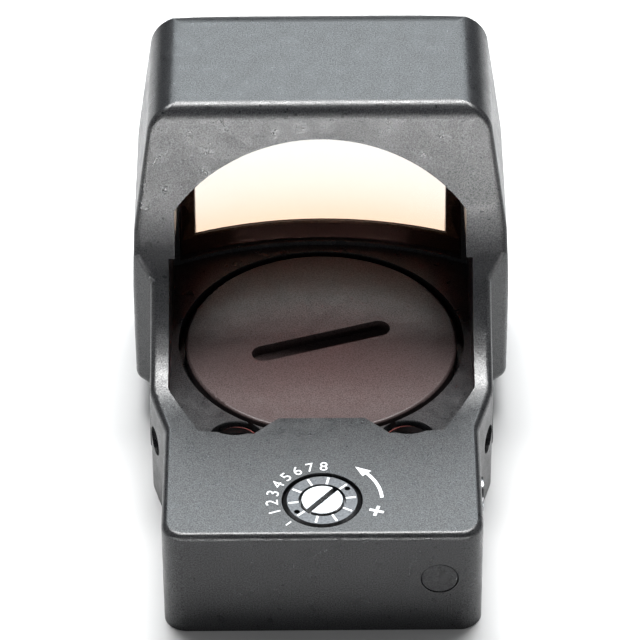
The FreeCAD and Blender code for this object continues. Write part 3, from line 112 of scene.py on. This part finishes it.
# marks painted on the deck round the dial
MARK_LIFT = 0.012 * MM
MARK_DEPTH = 0.05 * MM
LEGEND_RADIUS = 3.72 * MM
LEGEND_SIZE = 1.5 * MM
LEGEND_START = math.radians(200)
LEGEND_STEP = math.radians(-16)
START_DASH_STEPS = 1.6                # from the first numeral back to the start dash
LEGEND = "12345678"
ARROW_RADIUS = 5.02 * MM
ARROW_HALF_WIDTH = 0.15 * MM
ARROW_HEAD_HALF_WIDTH = 0.5 * MM
ARROW_START = math.radians(3)
ARROW_NECK = math.radians(41)
ARROW_TIP = math.radians(56)
ARROW_STEPS = 18
PLUS_ANGLE = math.radians(-17)
PLUS_RADIUS = 4.75 * MM
PLUS_REACH = 0.62 * MM
PLUS_HALF_WIDTH = 0.14 * MM

# graduations on the dial
TICKS = 10
TICK_INNER = 2.0 * MM
TICK_OUTER = 2.85 * MM
TICK_HALF_WIDTH = 0.1 * MM
TICK_TURN = math.radians(7)

# grain that every plain finish shares
GRAIN_FROM = 0.3                      # the part of the noise's range that counts
GRAIN_TO = 0.7
FINE_GRAIN_DETAIL = 2.0
BROAD_GRAIN_SHARE = 12                # the patches of uneven gloss are this much coarser than the grain
BROAD_GRAIN_DETAIL = 3.0
DULL_SPECK = 0.5                      # share of the specular level in the dull specks
BRIGHT_SPECK = 1.5                    # and in the bright ones

# the finish of each slot: the grain's two colours, the range of roughness, and what differs from grained()
FINISHES = {
    "anodised_housing": dict(dark=(0.005, 0.0053, 0.006), light=(0.018, 0.0185, 0.0198), rough=(0.26, 0.37),
                             specular=0.41, grain=9000, strength=0.8, distance=0.014 * MM),
    "anodised_cap": dict(dark=(0.040, 0.027, 0.026), light=(0.072, 0.053, 0.052), rough=(0.32, 0.40),
                         specular=0.28, grain=9000, strength=0.8),
    "anodised_cover": dict(dark=(0.008, 0.0082, 0.009), light=(0.018, 0.0185, 0.02), rough=(0.26, 0.34),
                           specular=0.35, strength=0.5),
    "black_rubber": dict(dark=(0.008, 0.008, 0.008), light=(0.016, 0.016, 0.016), rough=(0.62, 0.75),
                         specular=0.35, grain=4000),
    "black_plastic": dict(dark=(0.012, 0.012, 0.013), light=(0.02, 0.02, 0.022), rough=(0.45, 0.55),
                          grain=5000),
    "cell_steel": dict(dark=(0.55, 0.55, 0.56), light=(0.72, 0.72, 0.73), rough=(0.25, 0.35), metal=1.0,
                       grain=3000, strength=0.1, stretch=(1, 6, 1)),
    "contact_brass": dict(dark=(0.62, 0.45, 0.16), light=(0.8, 0.62, 0.28), rough=(0.28, 0.38), metal=1.0,
                          grain=3000, strength=0.1),
    "black_steel": dict(dark=(0.14, 0.14, 0.145), light=(0.24, 0.24, 0.25), rough=(0.08, 0.14), metal=1.0,
                        specular=0.8, grain=2500, strength=0.1),
    "board_laminate": dict(dark=(0.006, 0.05, 0.02), light=(0.015, 0.11, 0.05), rough=(0.3, 0.4),
                           grain=1500, strength=0.15),
    "chip_plastic": dict(dark=(0.012, 0.012, 0.012), light=(0.03, 0.03, 0.03), rough=(0.4, 0.55), grain=5000),
    "button_rubber": dict(dark=(0.018, 0.018, 0.019), light=(0.035, 0.035, 0.037), rough=(0.55, 0.7),
                          specular=0.4, grain=5000),
    "flex_film": dict(dark=(0.4, 0.16, 0.02), light=(0.55, 0.25, 0.05), rough=(0.25, 0.35), grain=2000,
                      strength=0.1),
    "dial_aluminium": dict(dark=(0.045, 0.046, 0.048), light=(0.085, 0.086, 0.09), rough=(0.28, 0.36),
                           metal=0.9, grain=5000, strength=0.4),
    "bright_steel": dict(dark=(0.2, 0.2, 0.205), light=(0.36, 0.36, 0.36), rough=(0.2, 0.34), metal=1.0,
                         grain=2500, strength=0.12),
    "slide_brass": dict(dark=(0.55, 0.4, 0.15), light=(0.7, 0.54, 0.24), rough=(0.28, 0.4), metal=1.0,
                        grain=3000, strength=0.15),
    "led_lens": dict(dark=(0.45, 0.02, 0.015), light=(0.6, 0.05, 0.03), rough=(0.08, 0.15), grain=1500,
                     strength=0.05),
    "edge_black": dict(dark=(0.004, 0.004, 0.0045), light=(0.008, 0.008, 0.009), rough=(0.6, 0.7),
                       specular=0.1, grain=6000),
    "mark_paint": dict(dark=(0.5, 0.51, 0.52), light=(0.64, 0.65, 0.66), rough=(0.45, 0.6), grain=6000,
                       strength=0.25),
}

# the lens: its coating's tint against height, from its foot to its top, and the coating's own reflection
COAT_TINTS = ((0.0, (0.88, 0.72, 0.60)), (0.07, (0.88, 0.75, 0.65)), (0.21, (0.88, 0.82, 0.76)),
              (0.39, (0.88, 0.86, 0.83)), (0.53, (0.88, 0.87, 0.85)), (0.63, (0.72, 0.38, 0.36)),
              (1.0, (0.60, 0.27, 0.24)))
COAT_DEEP = (0.9, 0.45, 0.38)
COAT_PALE = (1.0, 0.6, 0.5)
COAT_STREAKS = 90
COAT_ROUGHNESS = 0.03
LENS_IOR = 1.45
CLEAR_FACE_LEAN = 0.5                 # a lens face that looks further than this along Y is clear


# ---- small helpers ----
def node_of(material, kind):
    return material.node_tree.nodes.new(kind)


def link(material, source, target):
    material.node_tree.links.new(source, target)


def new_material(name):
    """A plain node material, with its Principled shader and its object coordinates."""
    material = bpy.data.materials.new(name)
    material.use_nodes = True
    shader = material.node_tree.nodes["Principled BSDF"]
    place = node_of(material, "ShaderNodeTexCoord").outputs["Object"]
    return material, shader, place


def noise(material, place, scale, detail=FINE_GRAIN_DETAIL):
    node = node_of(material, "ShaderNodeTexNoise")
    node.inputs["Scale"].default_value = scale
    node.inputs["Detail"].default_value = detail
    link(material, place, node.inputs["Vector"])
    return node.outputs["Fac"]


def spread(material, value, low, high, from_low=GRAIN_FROM, from_high=GRAIN_TO):
    node = node_of(material, "ShaderNodeMapRange")
    link(material, value, node.inputs["Value"])
    node.inputs["From Min"].default_value = from_low
    node.inputs["From Max"].default_value = from_high
    node.inputs["To Min"].default_value = low
    node.inputs["To Max"].default_value = high
    return node.outputs["Result"]


def two_tone(material, value, dark, light):
    ramp = node_of(material, "ShaderNodeValToRGB")
    ramp.color_ramp.elements[0].position = GRAIN_FROM
    ramp.color_ramp.elements[0].color = (*dark, 1)
    ramp.color_ramp.elements[1].position = GRAIN_TO
    ramp.color_ramp.elements[1].color = (*light, 1)
    link(material, value, ramp.inputs["Fac"])
    return ramp.outputs["Color"]


def bump(material, shader, height, strength, distance):
    node = node_of(material, "ShaderNodeBump")
    node.inputs["Strength"].default_value = strength
    node.inputs["Distance"].default_value = distance
    link(material, height, node.inputs["Height"])
    link(material, node.outputs["Normal"], shader.inputs["Normal"])


def grained(name, dark, light, rough, metal=0.0, specular=0.5, grain=7000, strength=0.3,
            distance=0.012 * MM, stretch=None):
    """A surface with fine grain: specks of colour and shine, uneven gloss and a little relief."""
    material, shader, place = new_material(name)
    if stretch:
        mapping = node_of(material, "ShaderNodeMapping")
        mapping.inputs["Scale"].default_value = stretch
        link(material, place, mapping.inputs["Vector"])
        place = mapping.outputs["Vector"]
    fine = noise(material, place, grain)
    link(material, two_tone(material, fine, dark, light), shader.inputs["Base Color"])
    broad = noise(material, place, grain / BROAD_GRAIN_SHARE, BROAD_GRAIN_DETAIL)
    link(material, spread(material, broad, rough[0], rough[1]), shader.inputs["Roughness"])
    shader.inputs["Metallic"].default_value = metal
    shine = spread(material, fine, specular * DULL_SPECK, specular * BRIGHT_SPECK)
    link(material, shine, shader.inputs["Specular IOR Level"])
    bump(material, shader, fine, strength, distance)
    return material


# ---- materials: one for each slot, the blacked edge of the lens, and the paint of the marks ----
def lens_glass():
    """Clear glass whose coating warms what is seen through it, most near its foot."""
    material = bpy.data.materials.new("lens_glass")
    material.use_nodes = True
    tree = material.node_tree
    tree.nodes.clear()
    out = node_of(material, "ShaderNodeOutputMaterial")
    place = node_of(material, "ShaderNodeTexCoord").outputs["Object"]
    split = node_of(material, "ShaderNodeSeparateXYZ")
    link(material, place, split.inputs["Vector"])
    low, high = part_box("lens")
    height = spread(material, split.outputs["Z"], 0, 1, low.z, high.z)
    ramp = node_of(material, "ShaderNodeValToRGB")
    ramp.color_ramp.elements.remove(ramp.color_ramp.elements[1])
    for position, colour in COAT_TINTS:
        stop = ramp.color_ramp.elements.new(position)
        stop.color = (*colour, 1)
    ramp.color_ramp.elements.remove(ramp.color_ramp.elements[0])
    link(material, height, ramp.inputs["Fac"])
    clear = node_of(material, "ShaderNodeBsdfTransparent")
    link(material, ramp.outputs["Color"], clear.inputs["Color"])
    coat = node_of(material, "ShaderNodeBsdfGlossy")
    coat.inputs["Roughness"].default_value = COAT_ROUGHNESS
    streaks = noise(material, place, COAT_STREAKS)
    link(material, two_tone(material, streaks, COAT_DEEP, COAT_PALE), coat.inputs["Color"])
    gloss = node_of(material, "ShaderNodeFresnel")
    gloss.inputs["IOR"].default_value = LENS_IOR
    mix = node_of(material, "ShaderNodeMixShader")
    link(material, gloss.outputs["Fac"], mix.inputs["Fac"])
    link(material, clear.outputs["BSDF"], mix.inputs[1])
    link(material, coat.outputs["BSDF"], mix.inputs[2])
    link(material, mix.outputs["Shader"], out.inputs["Surface"])
    return material


def make_materials():
    made = {name: grained(name, **finish) for name, finish in FINISHES.items()}
    made["lens_glass"] = lens_glass()
    return made


MATERIALS = make_materials()


def give(obj, name):
    obj.data.materials.clear()
    obj.data.materials.append(MATERIALS[name])


def blacken_lens_edge():
    """The ground edge of the lens is blacked: only its front and back faces stay clear."""
    mesh = NODES["lens"].data
    mesh.materials.append(MATERIALS["edge_black"])
    for face in mesh.polygons:
        face.material_index = 0 if abs(face.normal.y) > CLEAR_FACE_LEAN else 1


def dress_cad_nodes():
    for name, obj in NODES.items():
        give(obj, SLOT_OF[name])
    blacken_lens_edge()


def bending_copy(node):
    """Stands for a springy CAD node: a copy of its mesh in its slot's finish, left where the node was, while
    the node itself is hidden.
    """
    obj = bpy.data.objects.new(node + "_bending", NODES[node].data.copy())
    bpy.context.scene.collection.objects.link(obj)
    give(obj, SLOT_OF[node])
    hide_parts(node)
    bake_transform(obj)


def springy_pieces():
    bending_copy("slide_springs")
    bending_copy("emitter_flex_cable")


# ---- marks and graduations ----
def raised_outline(name, outlines, base_z, top_z):
    """One mesh of flat outlines, each raised from base_z to top_z. Points are (x, y) in metres."""
    mesh = bpy.data.meshes.new(name)
    shape = bmesh.new()
    for outline in outlines:
        face = shape.faces.new([shape.verts.new((x, y, base_z)) for x, y in outline])
        lifted = bmesh.ops.extrude_face_region(shape, geom=[face])
        corners = [item for item in lifted["geom"] if isinstance(item, bmesh.types.BMVert)]
        bmesh.ops.translate(shape, verts=corners, vec=(0, 0, top_z - base_z))
    bmesh.ops.recalc_face_normals(shape, faces=shape.faces)
    shape.to_mesh(mesh)
    shape.free()
    obj = bpy.data.objects.new(name, mesh)
    bpy.context.scene.collection.objects.link(obj)
    return obj


def round_place(centre, radius, angle):
    return (centre.x + radius * math.cos(angle), centre.y + radius * math.sin(angle))


def bar(centre, angle, inner, outer, half_width):
    """A straight bar that points away from centre at that angle."""
    along = Vector((math.cos(angle), math.sin(angle)))
    across = Vector((-along.y, along.x)) * half_width
    middle = Vector((centre.x, centre.y))
    ends = [middle + along * inner - across, middle + along * outer - across,
            middle + along * outer + across, middle + along * inner + across]
    return [tuple(point) for point in ends]


def arrow_outline(centre):
    """The curved arrow that shows which way to turn the dial: a band with a pointed head."""
    sweep = [ARROW_START + (ARROW_NECK - ARROW_START) * i / ARROW_STEPS for i in range(ARROW_STEPS + 1)]
    outer = [round_place(centre, ARROW_RADIUS + ARROW_HALF_WIDTH, angle) for angle in sweep]
    inner = [round_place(centre, ARROW_RADIUS - ARROW_HALF_WIDTH, angle) for angle in reversed(sweep)]
    head = [round_place(centre, ARROW_RADIUS + ARROW_HEAD_HALF_WIDTH, ARROW_NECK),
            round_place(centre, ARROW_RADIUS, ARROW_TIP),
            round_place(centre, ARROW_RADIUS - ARROW_HEAD_HALF_WIDTH, ARROW_NECK)]
    return outer + head + inner


def dial_centre():
    low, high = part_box("elevation_dial")
    middle = (low + high) / 2
    return Vector((middle.x, middle.y, high.z))


def deck_marks():
    """Painted on the deck: a start dash, a curved arrow and a plus sign."""
    centre = dial_centre()
    plus = Vector((*round_place(centre, PLUS_RADIUS, PLUS_ANGLE), 0))
    outlines = [arrow_outline(centre),
                bar(centre, LEGEND_START - START_DASH_STEPS * LEGEND_STEP, LEGEND_RADIUS,
                    LEGEND_RADIUS + PLUS_REACH, PLUS_HALF_WIDTH / 2)]
    marks = raised_outline("deck_marks", outlines, centre.z - MARK_DEPTH, centre.z + MARK_LIFT)
    cross = [bar(plus, PLUS_ANGLE, -PLUS_REACH, PLUS_REACH, PLUS_HALF_WIDTH),
             bar(plus, PLUS_ANGLE + math.pi / 2, PLUS_HALF_WIDTH, PLUS_REACH, PLUS_HALF_WIDTH),
             bar(plus, PLUS_ANGLE - math.pi / 2, PLUS_HALF_WIDTH, PLUS_REACH, PLUS_HALF_WIDTH)]
    sign = raised_outline("deck_plus_sign", cross, centre.z - MARK_DEPTH, centre.z + MARK_LIFT)
    for obj in (marks, sign):
        give(obj, "mark_paint")
        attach(obj, "root")


def deck_numerals():
    """Numbers in an arc round the dial, each with its foot toward the dial."""
    centre = dial_centre()
    for count, character in enumerate(LEGEND):
        angle = LEGEND_START + count * LEGEND_STEP
        text = bpy.data.curves.new("numeral_%s" % character, "FONT")
        text.body = character
        text.size = LEGEND_SIZE
        text.align_x = "CENTER"
        text.extrude = MARK_DEPTH
        obj = bpy.data.objects.new("deck_numeral_%s" % character, text)
        bpy.context.scene.collection.objects.link(obj)
        x, y = round_place(centre, LEGEND_RADIUS, angle)
        obj.location = (x, y, centre.z + MARK_LIFT - MARK_DEPTH)
        obj.rotation_euler = (0, 0, angle - math.pi / 2)
        give(obj, "mark_paint")
        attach(obj, "root")


def dial_graduations():
    centre = dial_centre()
    outlines = [bar(centre, TICK_TURN + 2 * math.pi * i / TICKS, TICK_INNER, TICK_OUTER, TICK_HALF_WIDTH)
                for i in range(TICKS)]
    ticks = raised_outline("dial_graduations", outlines, centre.z - MARK_DEPTH, centre.z + MARK_LIFT)
    give(ticks, "mark_paint")
    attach(ticks, "elevation_adjuster")


# ---- floor, lights, camera ----
def make_floor():
    far = FLOOR_HALF_SIZE
    mesh = bpy.data.meshes.new("floor")
    mesh.from_pydata([(-far, -far, 0), (far, -far, 0), (far, far, 0), (-far, far, 0)], [], [(0, 1, 2, 3)])
    floor = bpy.data.objects.new("floor", mesh)
    floor.location.z = cad_box[0].z
    bpy.context.scene.collection.objects.link(floor)
    material, shader, place = new_material("floor_paper")
    tone = noise(material, place, FLOOR_GRAIN)
    link(material, two_tone(material, tone, FLOOR_DARK, FLOOR_LIGHT), shader.inputs["Base Color"])
    shader.inputs["Roughness"].default_value = FLOOR_ROUGHNESS
    shader.inputs["Specular IOR Level"].default_value = FLOOR_SPECULAR
    floor.data.materials.append(material)


def area_light(name, width, height, watts, colour=(1, 1, 1)):
    light = bpy.data.lights.new(name, "AREA")
    light.shape = "RECTANGLE"
    light.size = width
    light.size_y = height
    light.energy = watts
    light.color = colour
    obj = bpy.data.objects.new(name, light)
    bpy.context.scene.collection.objects.link(obj)
    return obj


def softbox(name, azimuth, elevation, distance, width, height, strength, colour=(1, 1, 1)):
    """A rectangular light that faces the middle of the sight, as bright as strength whatever its size."""
    obj = area_light(name, width, height, strength * math.pi * width * height, colour)
    a, e = math.radians(azimuth), math.radians(elevation)
    away = Vector((math.sin(a) * math.cos(e), math.cos(a) * math.cos(e), math.sin(e)))
    middle = (cad_box[0] + cad_box[1]) / 2
    obj.location = middle + away * distance
    obj.rotation_euler = away.to_track_quat("Z", "Y").to_euler()


def floor_glow():
    """A gridded light over the floor behind the sight, which shows in the faces that look that way."""
    obj = area_light("floor_glow", GLOW_WIDTH, GLOW_DEPTH, GLOW_WATTS)
    obj.data.spread = GLOW_SPREAD
    obj.location = GLOW_PLACE


def make_lights():
    for name, setting in SOFTBOXES.items():
        softbox(name, **setting)
    floor_glow()
    world = bpy.data.worlds.new("studio")
    world.use_nodes = True
    background = world.node_tree.nodes["Background"]
    background.inputs["Color"].default_value = (*ROOM_COLOUR, 1)
    background.inputs["Strength"].default_value = ROOM_STRENGTH
    bpy.context.scene.world = world


def make_camera():
    camera = bpy.data.cameras.new("camera")
    camera.lens = FOCAL_LENGTH
    camera.sensor_width = SENSOR_WIDTH
    camera.shift_x = SHIFT_X
    camera.clip_start = NEAREST_SEEN
    camera.clip_end = FURTHEST_SEEN
    obj = bpy.data.objects.new("camera", camera)
    aim = Vector((0, AIM_AHEAD_OF_CENTRE, AIM_HEIGHT))
    back = Vector((0, -math.cos(VIEW_ELEVATION), math.sin(VIEW_ELEVATION)))
    obj.location = aim + back * VIEW_DISTANCE
    level = Matrix.Rotation(math.pi / 2 - VIEW_ELEVATION, 4, "X")
    obj.rotation_euler = (level @ Matrix.Rotation(VIEW_ROLL, 4, "Z")).to_euler()
    bpy.context.scene.collection.objects.link(obj)
    bpy.context.scene.camera = obj


dress_cad_nodes()
springy_pieces()
deck_marks()
deck_numerals()
dial_graduations()
make_floor()
make_lights()
make_camera()
bpy.context.scene.view_settings.view_transform = "Standard"
